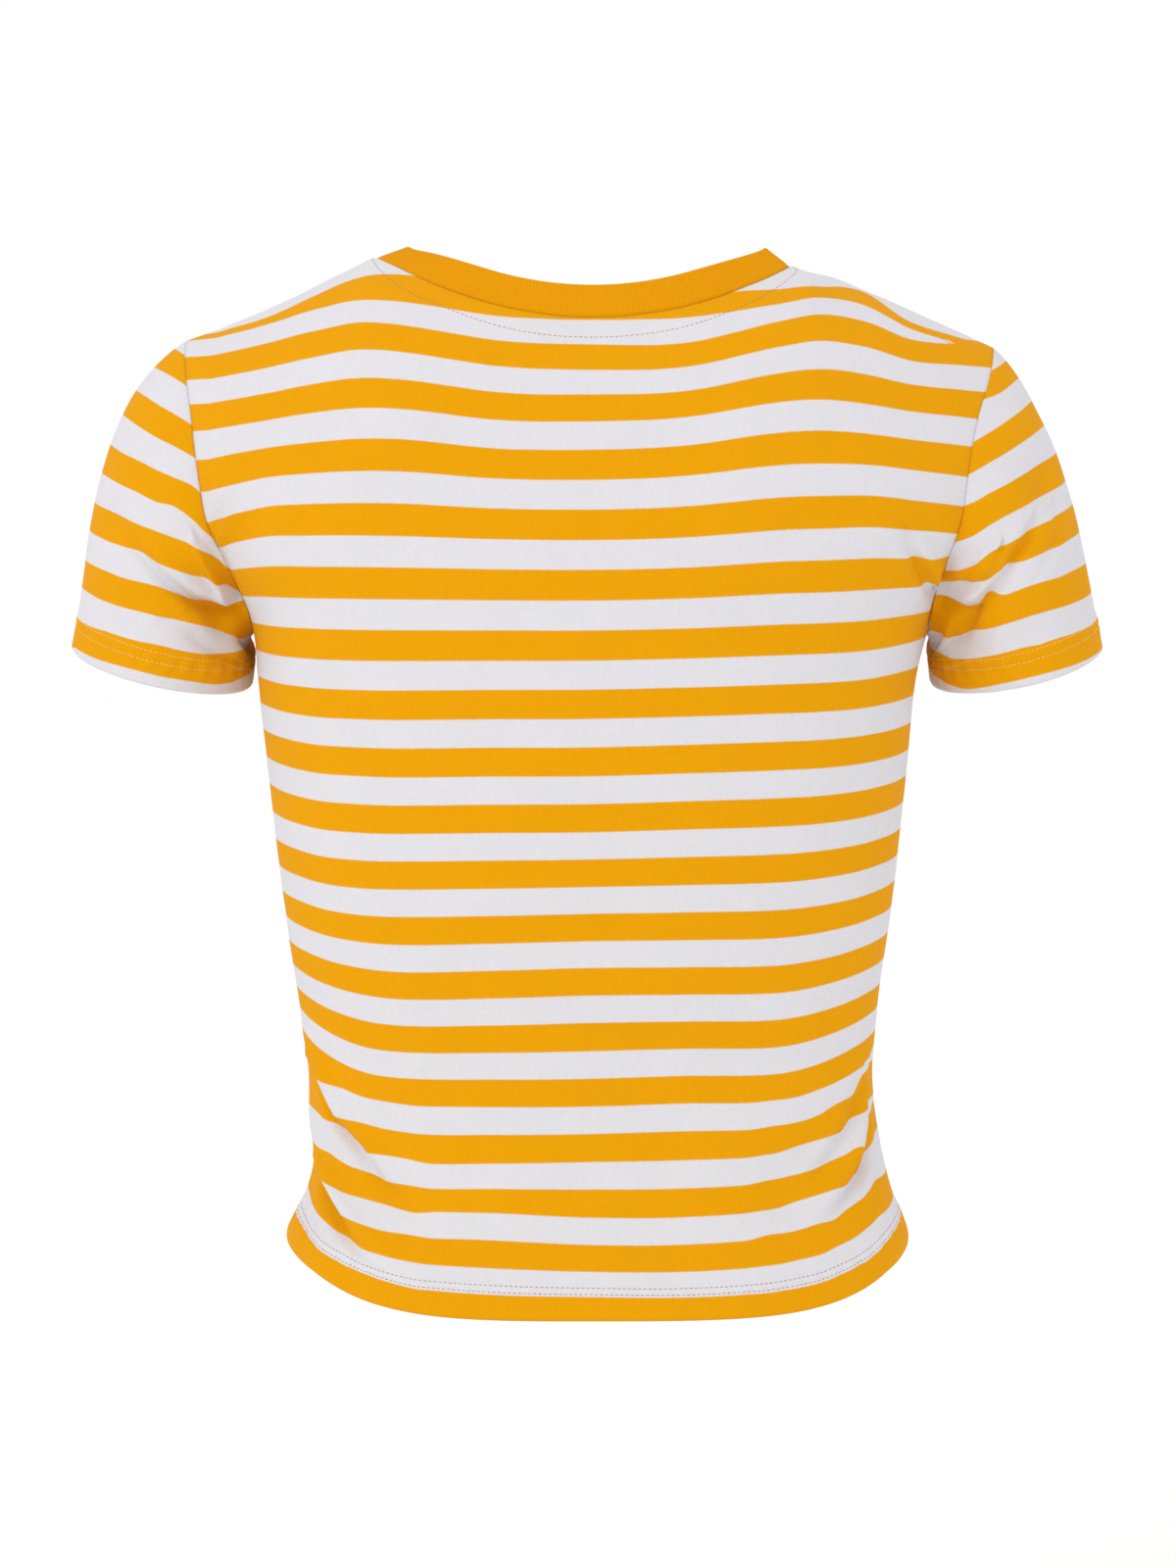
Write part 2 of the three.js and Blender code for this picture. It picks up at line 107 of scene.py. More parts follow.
panelMesh = {
    "halfColumns": 105,
    "neckShare": 8 / 15,  # share of the half columns that end at the neck
    "hemRows": 24,
    "hemShare": 0.072,  # share of the lower body's height that takes the closer rows
    "lowerRows": 106,
    "upperRows": 70,
}


def readTable(rows, column, at):  # a smooth curve through one column, read by the first
    keys = np.array([row[0] for row in rows], float)
    values = np.array([row[column] for row in rows], float)
    last = len(keys) - 1
    before = np.maximum(np.arange(last + 1) - 1, 0)
    after = np.minimum(np.arange(last + 1) + 1, last)
    slopes = (values[after] - values[before]) / (keys[after] - keys[before])
    spot = np.clip(at, keys[0], keys[-1])
    i = np.clip(np.searchsorted(keys, spot, side="right") - 1, 0, last - 1)
    span = keys[i + 1] - keys[i]
    t = (spot - keys[i]) / span
    rise = 3 * t**2 - 2 * t**3
    start = (t**3 - 2 * t**2 + t) * span * slopes[i]
    end = (t**3 - t**2) * span * slopes[i + 1]
    return values[i] * (1 - rise) + values[i + 1] * rise + start + end


def smooth(low, high, value):  # 0 below low, 1 above high, and soft between
    t = np.clip((value - low) / (high - low), 0, 1)
    return t * t * (3 - 2 * t)


def mix(a, b, share):
    return a + (b - a) * share


def unit(vectors):
    return vectors / np.maximum(np.linalg.norm(vectors, axis=-1, keepdims=True), 1e-9)


def halfWidth(x, z):
    left = readTable(sections, sectionColumn["left"], z)
    right = readTable(sections, sectionColumn["right"], z)
    return np.where(x < 0, right, left)


def topLine(x):
    neck = shoulders["neckHalfWidth"]
    across = np.abs(x)
    tilt = shoulders["neckTilt"] * np.clip(x / neck, -1, 1)
    along = (across - neck) / (shoulders["tipX"] - neck)
    tipZ = np.where(x < 0, shoulders["rightTipZ"], shoulders["leftTipZ"])
    sag = np.where(x < 0, shoulders["rightSag"], shoulders["leftSag"])
    sag = sag * np.sin(np.pi * np.clip(along, 0, 1))
    overNeck = tilt + shoulders["centreZ"] * (1 - (across / neck) ** 2)
    return np.where(across < neck, overNeck, mix(tilt, tipZ, along) - sag)


def formDepth(panel, x, z):  # the place of the back or the front along Y
    power = readTable(fullness, 1 if panel == "back" else 2, z)
    outward = np.minimum(np.abs(x) / halfWidth(x, z), 1)
    depth = readTable(sections, sectionColumn[panel], z) * (1 - outward**power) ** (1 / power)
    centre, change = shoulderRoll[panel]
    below = np.clip((topLine(x) - z) / (centre + change * np.abs(x)), 0, 1)
    turned = np.sqrt(1 - (1 - below) ** 2)
    side = 1 if panel == "back" else -1
    return shoulders["seamY"] * (1 - below) + side * depth * turned


def onForm(panel, x, z):
    return np.stack([x, formDepth(panel, x, z), z], axis=-1)


def lowerPoints(panel, column, row):  # column runs from -1 to 1 and row from 0 at the hem to 1
    side = np.where(column < 0, -1, 1)
    backZ = mix(rings[0][0], rings[-1][0], row)
    centreZ = backZ if panel == "back" else readTable(rings, 1, backZ)
    sideZ = np.where(column < 0, readTable(rings, 3, backZ), readTable(rings, 2, backZ))
    outward = np.sin(np.pi / 2 * np.abs(column))
    rise = np.where(column < 0, ringRise["right"], ringRise["left"])
    return side * halfWidth(side, sideZ) * outward, mix(centreZ, sideZ, outward**rise)


def topEdge(panel, column):
    neck = shoulders["neckHalfWidth"]
    share = panelMesh["neckShare"]
    side = np.where(column < 0, -1, 1)
    out = np.abs(column)
    curve = necklines[panel]
    neckX = neck * np.sin(np.pi / 2 * np.clip(out / share, 0, 1)) ** 0.9
    fall = curve["drop"] * (1 - (neckX / neck) ** curve["power"])
    tilt = shoulders["neckTilt"] * side * neckX / neck
    neckZ = tilt - curve["drop"] * (fall / curve["drop"]) ** curve["round"]
    seamX = mix(neck, shoulders["tipX"], np.clip((out - share) / (1 - share), 0, 1))
    seamZ = topLine(side * seamX)
    onNeck = out <= share + 1e-6
    return side * np.where(onNeck, neckX, seamX), np.where(onNeck, neckZ, seamZ)


def upperPoints(panel, column, row):  # row from 0 at the underarm to 1 at the neck and shoulder
    climb = mix(row, (1 - np.cos(np.pi * row)) / 2, 0.7)
    outward = np.abs(column)
    side = np.where(column < 0, -1, 1)
    top = np.ones_like(row)
    lowX, lowZ = lowerPoints(panel, column, top)
    lowEndX, lowEndZ = lowerPoints(panel, side * 1.0, top)
    _, lowCentreZ = lowerPoints(panel, column * 0, top)
    topX, topZ = topEdge(panel, column)
    topEndX, topEndZ = topEdge(panel, side * 1.0)
    _, topCentreZ = topEdge(panel, column * 0)
    endZ = mix(underarmZ, topEndZ, climb)
    seamZ = mix(underarmZ, armhole[-1][0], climb)
    back = np.where(column < 0, readTable(armhole, 2, seamZ), readTable(armhole, 1, seamZ))
    endX = side * (back if panel == "back" else readTable(armhole, 3, seamZ))
    centreZ = mix(lowCentreZ, topCentreZ, climb)
    x = mix(lowX, topX, climb) + outward * (endX - mix(lowEndX, topEndX, climb))
    straight = mix(centreZ, mix(lowEndZ, topEndZ, climb), outward)
    return x, mix(lowZ, topZ, climb) + mix(centreZ, endZ, outward) - straight


def panelGrid(panel):
    half = panelMesh["halfColumns"]
    column = np.linspace(-1, 1, 2 * half + 1)
    hem = np.linspace(0, panelMesh["hemShare"], panelMesh["hemRows"] + 1)[:-1]
    lower = np.append(hem, np.linspace(panelMesh["hemShare"], 1, panelMesh["lowerRows"] + 1))
    upper = np.linspace(0, 1, panelMesh["upperRows"] + 1)[1:]
    lowColumns, lowRows = np.meshgrid(column, lower)
    upColumns, upRows = np.meshgrid(column, upper)
    low = onForm(panel, *lowerPoints(panel, lowColumns, lowRows))
    high = onForm(panel, *upperPoints(panel, upColumns, upRows))
    return np.concatenate([low, high])


# Sleeves: the cuff's centre and half sizes, the lean of its axis, and the way the cloth leaves the armhole
cuff = {"x": 193, "y": -11, "z": -180.8, "halfWidth": 41, "halfDepth": 50}
cuff.update({"outwardLean": 14, "forwardLean": 9.5})
sleeves = {
    "left": {"side": 1, "x": 193, "halfWidth": 40.6, "capAngle": 34, "capPull": 0.375, "cuffPull": 0.29},
    "right": {"side": -1, "x": 192.2, "halfWidth": 38.7, "capAngle": 44, "capPull": 0.33, "cuffPull": 0.23},
}
sleeveMesh = {"rows": 96, "hemRows": 20, "hemShare": 0.87}


def armholeRing(back, front, side):  # from the underarm up the back to the tip and down the front
    edge = -1 if side > 0 else 0
    upper = panelMesh["upperRows"]
    ring = np.concatenate([back[-upper - 1 : -1, edge], front[: -upper - 1 : -1, edge]])
    between = (ring + np.roll(ring, -1, 0)) / 2
    return np.stack([ring, between], axis=1).reshape(-1, 3)


def sleeveGrid(ring, sleeve):
    side = sleeve["side"]
    out = math.radians(cuff["outwardLean"])
    across = np.array([side * math.cos(out), 0, math.sin(out)])
    forward = math.tan(math.radians(cuff["forwardLean"]))
    axis = unit(np.array([side * math.sin(out), -forward, -math.cos(out)]))
    behind = unit(np.cross(across, axis))
    behind = behind * np.sign(behind[1])
    centre = np.array([side * sleeve["x"], cuff["y"], cuff["z"]])
    turn = (np.pi * (1 - np.arange(len(ring)) / (len(ring) / 2)))[:, None]
    end = centre + across * sleeve["halfWidth"] * np.cos(turn) + behind * cuff["halfDepth"] * np.sin(turn)
    cap = math.radians(sleeve["capAngle"])
    overShoulder = np.array([side * math.cos(cap), 0, -math.sin(cap)])
    underArm = np.array([side * 0.9, 0, -0.44])
    leave = unit(mix(overShoulder, underArm, (1 - np.cos(turn)) / 2))
    leave[:, 1] += 0.12 * np.sin(turn[:, 0])
    span = np.linalg.norm(end - ring, axis=1, keepdims=True)
    first = ring + leave * sleeve["capPull"] * span
    second = end - axis * sleeve["cuffPull"] * span
    body = np.linspace(0, sleeveMesh["hemShare"], sleeveMesh["rows"] + 1)[:-1]
    hem = np.linspace(sleeveMesh["hemShare"], 1, sleeveMesh["hemRows"] + 1)
    t = np.append(body, hem)[:, None, None]
    return (1 - t) ** 3 * ring + 3 * (1 - t) ** 2 * t * first + 3 * (1 - t) * t**2 * second + t**3 * end


def steps(points, axis, wrap=False):  # central differences along a grid
    if wrap:
        return np.roll(points, -1, axis) - np.roll(points, 1, axis)
    return np.gradient(points, axis=axis)


def gridNormals(points, facing, wrap=False):
    return unit(np.cross(steps(points, 1, wrap), steps(points, 0)) * facing)


def lengths(points, axis):  # how far along its row or column each point lies
    gaps = np.linalg.norm(np.diff(points, axis=axis), axis=-1)
    start = np.zeros_like(np.take(gaps, [0], axis))
    return np.concatenate([start, np.cumsum(gaps, axis=axis)], axis=axis)


# The largest folds, the same as in the solids: from, to, width and height
largeFolds = [
    ((166, 40, -150), (207, 30, -118), 9, -3.5),
    ((158, 26, -168), (186, 34, -152), 8, -3.0),
    ((-160, 38, -150), (-206, 34, -96), 9, -3.5),
    ((-156, 30, -168), (-190, 36, -140), 9, -4.0),
    ((-176, 42, -172), (-205, 38, -120), 8, 2.5),
    ((162, 52, -140), (146, 72, -112), 9, -2.5),
    ((-160, 52, -142), (-142, 74, -122), 8, -3.0),
    ((128, 14, -362), (78, 70, -424), 12, -4.0),
    ((129, 12, -404), (96, 60, -436), 11, -3.5),
    ((-126, 14, -362), (-84, 68, -408), 12, -3.5),
    ((-132, 10, -384), (-84, 66, -430), 11, -3.5),
    ((128, -14, -366), (82, -82, -410), 13, -3.5),
    ((-127, -14, -372), (-76, -84, -420), 12, -3.5),
    ((154, -50, -140), (128, -92, -176), 10, -2.5),
    ((-153, -48, -142), (-124, -94, -170), 10, -3.0),
    ((158, -34, -160), (204, -46, -116), 9, -3.0),
    ((-158, -34, -160), (-203, -48, -124), 9, -3.0),
]


def foldHeight(points, folds):
    height = np.zeros(points.shape[:-1])
    for start, end, width, rise in folds:
        start, end = np.array(start, float), np.array(end, float)
        reach = end - start
        span = np.linalg.norm(reach)
        along = ((points - start) @ reach) / span**2
        nearest = start + np.clip(along, 0, 1)[..., None] * reach
        off = np.linalg.norm(points - nearest, axis=-1)
        fade = np.cos(np.pi / 2 * np.clip(np.abs(along - 0.5), 0, 1)) ** 0.5
        past = np.maximum(0, np.maximum(-along, along - 1)) * span
        height += np.where(past > 2 * width, 0, rise * fade * np.exp(-((off / width) ** 2)))
    return height


# Creases seen from behind, where the cloth folds over itself: across, height and size along each.
# The lip stands above the line and the trough lies below it.
creases = {
    "back": [
        [
            (125, -356, 0.8), (120, -361.5, 1.6), (112, -378, 1.7),
            (100, -390, 1.2), (91, -402, 0.7), (72, -416, 0),
        ],
        [
            (123, -402, 1), (119, -406.5, 1.7), (113, -415, 1.7),
            (109, -420, 1.3), (100, -429, 0.7), (88, -436, 0),
        ],
        [
            (-126, -372, 0.8), (-124, -382, 1.4), (-121, -394, 1.5),
            (-116, -403, 1.2), (-106, -415, 0.6), (-92, -424, 0),
        ],
        [(-120, -359, 0.4), (-113, -380, 0.6), (-103, -394, 0.5), (-88, -408, 0)],
        [(164, -127, -1), (158, -119, -1), (152, -111, -0.6), (145, -106, -0.1)],
        [(-138, -126, 0.3), (-144, -136, 1), (-150, -146, 0.8)],
    ],
    "sleeve_left": [
        [
            (147, -156, 1.2), (156, -154, 1.4), (163, -154.5, 1.5), (171, -151, 1.3),
            (184, -141, 0.9), (194, -130, 0.6), (206, -115, 0.1),
        ],
        [(157, -147, -1.2), (163, -138, -1.3), (169, -127, -0.5)],
        [(160, -176, 0.3), (171, -166, 0.6), (183, -161, 0.2)],
    ],
    "sleeve_right": [
        [
            (-191, -118, 0.4), (-188, -124, 0.8), (-182, -131, 1), (-178, -140, 1.2),
            (-170, -149, 1.3), (-165, -155, 1.1), (-161, -165, 0.4),
        ],
        [(-203, -111, 0.3), (-200.5, -123, 0.6), (-197, -131, 0.5), (-193, -140, 0.1)],
        [(-175, -131, 0.6), (-172, -139, 1), (-166, -144, 1), (-157, -145, 0.8)],
        [(-164, -154, 0.4), (-157, -152, 1.3), (-148, -151, 1.3)],
    ],
}
creaseShape = {"lip": 2.4, "lipAt": 3.6, "lipWidth": 4.0}
creaseShape.update({"trough": 3.6, "troughAt": 2.4, "troughWidth": 2.7})
underarmBulge = {"left": (2.6, -171, 13), "right": (2.6, -166, 12)}  # towards the body: size, height, reach


def creaseHeight(points, normals, toSeam, piece):  # less where the cloth turns away and at its seams
    x, z = points[..., 0], points[..., 2]
    total = np.zeros(x.shape)
    for line in creases[piece]:
        best = np.full(x.shape, 1e9)
        signed = np.zeros(x.shape)
        size = np.zeros(x.shape)
        for (ax, az, start), (bx, bz, end) in zip(line, line[1:]):
            dx, dz = bx - ax, bz - az
            near = np.clip(((x - ax) * dx + (z - az) * dz) / (dx * dx + dz * dz), 0, 1)
            off = np.hypot(x - ax - near * dx, z - az - near * dz)
            above = math.copysign(1, dx) * np.sign((z - az) * dx - (x - ax) * dz)
            closer = off < best
            best = np.where(closer, off, best)
            signed = np.where(closer, off * above, signed)
            size = np.where(closer, mix(start, end, near), size)
        lip = creaseShape["lip"] * np.exp(-(((signed - creaseShape["lipAt"]) / creaseShape["lipWidth"]) ** 2))
        trough = np.exp(-(((signed + creaseShape["troughAt"]) / creaseShape["troughWidth"]) ** 2))
        total += size * (lip - creaseShape["trough"] * trough)
    return total * smooth(0.05, 0.45, normals[..., 1]) * smooth(0, 6, toSeam)


# Height of the cloth above the hem, in stripe repeats of 25.4, at heights down the centre of the back
stripes = {"repeat": 25.4, "orange": 12.9}
centreBack = [
    (-480, -0.95),
    (-457.6, 0),
    (-447.8, 0.508),
    (-416.1, 2),
    (-369, 4),
    (-320.6, 6),
    (-273.6, 8),
    (-226.4, 10),
    (-177.7, 12),
    (-127.3, 14),
    (-77.1, 16),
    (-43.3, 17.5),
    (10, 19.9),
]
# How far a stripe climbs above its height at the centre, at places across the back
liftPlaces = (-165, -140, -120, -100, -80, -40, 0, 40, 80, 100, 120, 140, 165)
stripeLift = [
    (-457.6, 48, 23.9, 9.7, 3.6, 0.6, -0.5, 0, 0.2, 2.8, 6.9, 13.7, 31, 60),
    (-415.6, 46, 26, 15, 7, 2.2, 0, 0, 1.6, 1.9, 4.9, 12, 28, 50),
    (-398, 45, 25, 14, 6, 1.8, 0.4, 0, -0.8, -1.4, 3, 11.5, 27.5, 50),
    (-368.7, 44, 24, 12.4, 4.7, 1, 1.2, 0, -0.4, -0.7, 1.8, 11, 27, 50),
    (-320.3, 28, 14, 6.8, 2.1, -0.2, 0.3, 0, -1.4, -2.8, -1.4, 3.1, 12, 30),
    (-273.3, 22, 10.5, 5.1, 2.4, 1.1, 0.7, 0, -0.8, -2, -2, -0.1, 6, 20),
    (-226.1, 18, 8.5, 4.5, 2.7, 2.1, 1.1, 0, -0.2, -1, -0.7, 0.4, 4.6, 15),
    (-177.4, 14, 7.5, 4.1, 2.8, 2.1, 0.8, 0, -0.1, -0.3, -0.2, 0.5, 2.5, 9),
    (-127, 3, 4.5, 5.8, 5.1, 4.3, 1.1, 0, 0.4, 1.8, 2.2, 2.3, 1.9, -3.5),
    (-76.8, 3.5, 5.4, 8.1, 9.7, 8.2, 1.9, 0, 0.7, 5.4, 6.1, 4.4, 1.6, -1.7),
    (-43.3, 3, 4.4, 11.7, 13.8, 9.9, 0.6, 0, 1.7, 8.2, 10.1, 6.9, 2.5, -1.8),
    (-32.2, -8, -1.5, 9, 11, 7, 1, 0, 1.5, 7.9, 9.3, 6, 1, -4),
    (-20.9, -16, -9, 5.8, 5.5, 3.2, 1, 0, 3, 10, 9.3, 2.3, -6, -12),
    (-9.8, -2, 2, 10, 12, 10, 2, 0, 4, 14, 14, 10, 5, 0),
]
# Heights of the stripes' edges at the lower sides of the back, where two edges meet in a crease
sidePlaces = (66, 80, 90, 100, 107, 112, 116, 120, 123, 126, 132, 140)  # outward from the centre
leftEdges = [  # for each edge of a stripe above the hem's own stripe
    (-447.5, -445, -443, -440.5, -438.5, -436.5, -435, -432.5, -430, -427.5, -424, -417),
    (-436, -434.5, -433, -430.5, -426.5, -425, -423, -421, -419, -416.5, -409, -400),
    (-424.5, -423.5, -423, -421.5, -419.5, -418, -414, -406.5, -403, -401, -396, -390),
    (-416.5, -414.5, -412.5, -411, -410, -408, -406.5, -405, -402.5, -400.5, -395, -388),
    (-405, -404, -403, -400, -398.5, -396.5, -394.5, -393.5, -392.5, -391.5, -388, -383),
    (-394.5, -393, -392, -391, -387, -383.5, -381.5, -380.5, -379, -377.5, -374, -369),
    (-382.5, -381.5, -380.5, -378.5, -377, -375.5, -370, -361.5, -359.5, -358, -354, -349),
    (-370.5, -369.5, -368.5, -367, -364.5, -363, -361.5, -360.5, -357.5, -354.5, -350, -345),
]
rightEdges = [
    (-448.5, -447, -446, -444.5, -442.5, -441, -439.5, -438, -436.5, -434.5, -430, -424),
    (-436.5, -436, -434.5, -433, -430.5, -429, -427.5, -425.5, -424, -422, -419.5, -414),
    (-424, -423.5, -422.5, -420.5, -419.5, -416.5, -414.5, -412.5, -410, -407, -406, -400),
    (-414.5, -413.5, -411, -409, -407.5, -406.5, -404.5, -402.5, -398.5, -394, -388, -384),
    (-402, -401.5, -400, -398, -395.5, -393.5, -391, -391.5, -391, -385, -370, -366),
    (-391, -390.5, -388, -386, -384.5, -383.5, -379, -377, -375.5, -374.5, -371, -367),
    (-379.5, -378.5, -377.5, -375, -371.5, -369.5, -368, -364, -361, -359, -355, -350),
    (-368, -367.5, -366.5, -364, -362, -360, -358, -356.5, -355.5, -353, -348, -342),
]
edgeCount = 40
edgeGap = 0.3  # two edges that meet in a crease keep this much apart
clothLevels = [stripes["repeat"] * (k // 2) + stripes["orange"] * (k % 2) for k in range(edgeCount)]


def backLines(x):  # the height of each stripe's edge on the back, at places across
    heights = np.linspace(centreBack[0][0], centreBack[-1][0], 981)
    levels = np.interp(clothLevels, readTable(centreBack, 1, heights) * stripes["repeat"], heights)
    lines = []
    for k, level in enumerate(levels):
        lifts = [(place, float(readTable(stripeLift, i + 1, level))) for i, place in enumerate(liftPlaces)]
        line = level + readTable(lifts, 1, x)
        for side, edges in ((1, leftEdges), (-1, rightEdges)):
            if 1 <= k <= len(edges):
                atSide = readTable(list(zip(sidePlaces, edges[k - 1])), 1, side * x)
                line = mix(line, atSide, smooth(sidePlaces[0], sidePlaces[1], side * x))
        lines.append(np.maximum(line, lines[-1] + edgeGap) if lines else line)
    return lines


thinnest = 0.8  # half the width below which a stripe has gone into its crease


def onStripes(z, lines, below=0):  # the cloth's height above its edge, and how far inside an orange stripe
    thin = [np.maximum(0, thinnest - (high - low) / 2) for low, high in zip(lines, lines[1:])] + [0]
    height = z - lines[0]
    inside = np.full(np.shape(z), -50.0)
    for k in range(len(lines) - 1):
        low, high = lines[k], lines[k + 1]
        within = (z >= low) & (z < high)
        height = np.where(within, mix(clothLevels[k], clothLevels[k + 1], (z - low) / (high - low)), height)
        if k % 2 == 0:
            bottom = low + thin[k] - (thin[k - 1] if k else below)
            top = high - thin[k] + thin[k + 1]
            inside = np.maximum(inside, np.minimum(z - bottom, top - z))
    return height, inside


def frontLines(points, fromHem):  # level at the centre, and meeting the back's at the side seams
    x, z = points[..., 0], points[..., 2]
    middle = points.shape[1] // 2
    centre = np.interp(clothLevels, fromHem[:, middle], points[:, middle, 2])
    centre = centre + np.maximum(np.array(clothLevels) - fromHem[-1, middle], 0)
    atSeam = {}
    for side in (-1, 1):
        heights = np.linspace(-480, 20, 1001)
        seamCloth, _ = onStripes(heights, backLines(side * halfWidth(side, heights)))
        atSeam[side] = np.interp(clothLevels, seamCloth, heights)
    share = np.minimum(np.abs(x) / halfWidth(x, z), 1) ** 3
    return [mix(centre[k], np.where(x < 0, atSeam[-1][k], atSeam[1][k]), share) for k in range(edgeCount)]


# Heights of the stripes' edges on the back of each sleeve, from the lowest orange stripe up
sleevePlaces = (155, 160, 166, 172, 180, 188, 196, 204, 212, 220, 228)  # outward from the centre
sleeveEdges = {
    "left": [
        (-186, -188.5, -189, -188, -186.5, -185, -183, -181, -179, -176.5, -173.5),
        (-171.5, -174.5, -175.5, -175, -173.5, -171.5, -170, -168, -165.5, -163.5, -161),
        (-167, -166.5, -164, -162.5, -160.5, -159, -157, -155, -152.5, -149.5, -147),
        (-153, -153, -154.5, -153, -149.5, -146, -144, -142, -139, -136.5, -134.5),
        (-149.5, -145, -143, -141.5, -138.5, -135.5, -131, -128.5, -126, -123, -119.5),
        (-142, -138.5, -132, -128, -125, -122, -119, -115.5, -112.5, -109.5, -106),
        (-133, -129, -123.5, -117, -111.5, -109.5, -105.5, -102, -98.5, -95, -92),
        (-115.5, -112, -107.5, -102.5, -99, -95.5, -91.5, -88, -84, -80, -76),
        (-101, -98, -94, -90, -85.5, -81.5, -77, -72, -67, -62, -57),
        (-88, -84.5, -80.5, -76.5, -71.5, -67, -62, -57, -52, -47, -42),
        (-74, -70, -66, -61.5, -56, -51.5, -47, -42, -37, -32, -27),
        (-61, -57, -53, -49, -43, -38, -33, -28, -23, -18, -13),
    ],
    "right": [
        (-187, -190, -191.5, -190.5, -188.5, -186.5, -184.5, -182.5, -180.5, -178, -175),
        (-173, -177, -177.5, -176.5, -174.5, -172.5, -171, -168.5, -166.5, -164.5, -161.5),
        (-164.5, -168, -165.5, -164.5, -162, -159.5, -157.5, -155.5, -153.5, -151.5, -149),
        (-151, -153, -156, -150, -149.5, -146.5, -144, -142, -139.5, -137.5, -135),
        (-146.5, -145, -144.5, -143.5, -137.5, -135, -131.5, -128.5, -125.5, -123, -120),
        (-141.5, -139.5, -136.5, -131.5, -127.5, -123.5, -119, -115.5, -112, -109, -106),
        (-130, -127, -124, -120, -115.5, -111.5, -107.5, -104, -100, -96, -92),
        (-115, -112, -109.5, -106, -102, -97.5, -93, -89, -84.5, -80, -75),
        (-102.5, -99.5, -96.5, -93, -88.5, -83.5, -78.5, -73, -68, -62.5, -57),
        (-89.5, -86.5, -83.5, -80, -75, -69.5, -63.5, -58.5, -53, -47, -41),
        (-74, -70, -66, -64.5, -61, -55, -49, -43, -37, -31, -25),
        (-62, -58, -55, -53, -49, -43, -37, -31, -25, -19, -13),
    ],
}
sleeveFront = {"slope": 0.2, "fadeBy": 110}  # how the stripes rise towards the front, less near the cap
capStripes = {"edges": 4, "step": 13}  # the edges above the table's last


def sleeveLines(points, name):
    x, y = np.abs(points[..., 0]), points[..., 1]
    out = np.clip((x - cuff["x"]) / cuff["halfWidth"], -1, 1)
    forward = np.maximum(0, cuff["y"] + cuff["halfDepth"] * np.sqrt(1 - out**2) - y)
    lines = []
    for k, edges in enumerate(sleeveEdges[name]):
        rise = sleeveFront["slope"] * forward * max(0, 1 - clothLevels[k] / sleeveFront["fadeBy"])
        lines.append(readTable(list(zip(sleevePlaces, edges)), 1, x) + rise)
    for _ in range(capStripes["edges"]):
        lines.append(lines[-1] + capStripes["step"])
    return lines


def ripple(points, size, seed):  # gentle unevenness, about 1 high
    flat = points.reshape(-1, 3) / size + seed
    values = [noise.noise(Vector(point)) for point in flat]
    return np.array(values).reshape(points.shape[:-1])


def unevenness(points):  # a broad ripple and a finer one, the same on every piece
    return 0.8 * ripple(points, 46, 3.0) + 0.25 * ripple(points, 15, 9.0)


clothEdge = {
    "seamRoll": 0.16,  # how far a sewn edge dips into its seam
    "neckRoll": 0.4,
    "seamWidth": 1.8,
    "underarmPinch": 1.8,  # the armhole seam lies deeper under the arm
    "pinchWidth": 2.4,
    "hemStand": 0.45,  # the turned hem stands this much proud
    "hemRoll": 1.0,
    "pucker": 0.28,
    "puckerLength": 8.7,
    "puckerFade": 6,
    "hemTurn": 1.6,  # the radius over which the edge turns in
    "groove": 0.3,  # how deep a row of stitches sinks in
    "grooveWidth": 0.9,
}
hems = {"body": {"rows": (14.1, 17.3), "depth": 18.8}, "cuff": {"rows": (11, 15.5), "depth": 17}}


def seamDip(distance, z):
    pinch = smooth(-112, -138, z) * smooth(-184, -168, z)
    depth = clothEdge["seamRoll"] + clothEdge["underarmPinch"] * pinch
    width = clothEdge["seamWidth"] + clothEdge["pinchWidth"] * pinch
    return -depth * np.exp(-((distance / width) ** 2))


def hemShape(hem, distance, upCloth, around, seed):  # distance above the edge, and the length round the hem
    stand = clothEdge["hemStand"] * (1 - smooth(hem["depth"] - 1, hem["depth"] + 1, upCloth))
    edge = np.clip(1 - distance / clothEdge["hemTurn"], 0, 1)
    roll = -clothEdge["hemRoll"] * (1 - np.sqrt(np.maximum(1 - edge**2, 0)))
    deep, wide = clothEdge["groove"], clothEdge["grooveWidth"]
    groove = sum(-deep * np.exp(-(((upCloth - row) / wide) ** 2)) for row in hem["rows"])
    turns = around / clothEdge["puckerLength"] + 0.35 * np.sin(around / 31 + seed)
    wave = np.sin(2 * np.pi * turns + distance * 0.25)
    near = np.exp(-(((upCloth - hem["rows"][0]) / clothEdge["puckerFade"]) ** 2))
    pucker = clothEdge["pucker"] * wave * near
    return stand + roll + groove + pucker


print("cloth form")
base = {"back": panelGrid("back"), "front": panelGrid("front")}
# The right end of the neck is drawn in
neckTuck = {"at": (-96, -5, -1.5), "reach": 11, "alongNeck": 0.4, "inward": 8, "down": 2.6}
for points in base.values():
    away = (points - np.array(neckTuck["at"])) * (1, neckTuck["alongNeck"], 1)
    off = np.linalg.norm(away, axis=-1)
    share = np.exp(-((off / neckTuck["reach"]) ** 2))
    points[..., 0] += neckTuck["inward"] * share
    points[..., 2] -= neckTuck["down"] * share
for name, sleeve in sleeves.items():
    base["sleeve_" + name] = sleeveGrid(armholeRing(base["back"], base["front"], sleeve["side"]), sleeve)
facing = {"back": -1, "front": 1, "sleeve_left": 1, "sleeve_right": -1}
wraps = {"back": False, "front": False, "sleeve_left": True, "sleeve_right": True}
normals = {name: gridNormals(base[name], facing[name], wraps[name]) for name in base}
upper = panelMesh["upperRows"]
neckColumn = round(panelMesh["halfColumns"] * (1 - panelMesh["neckShare"]))

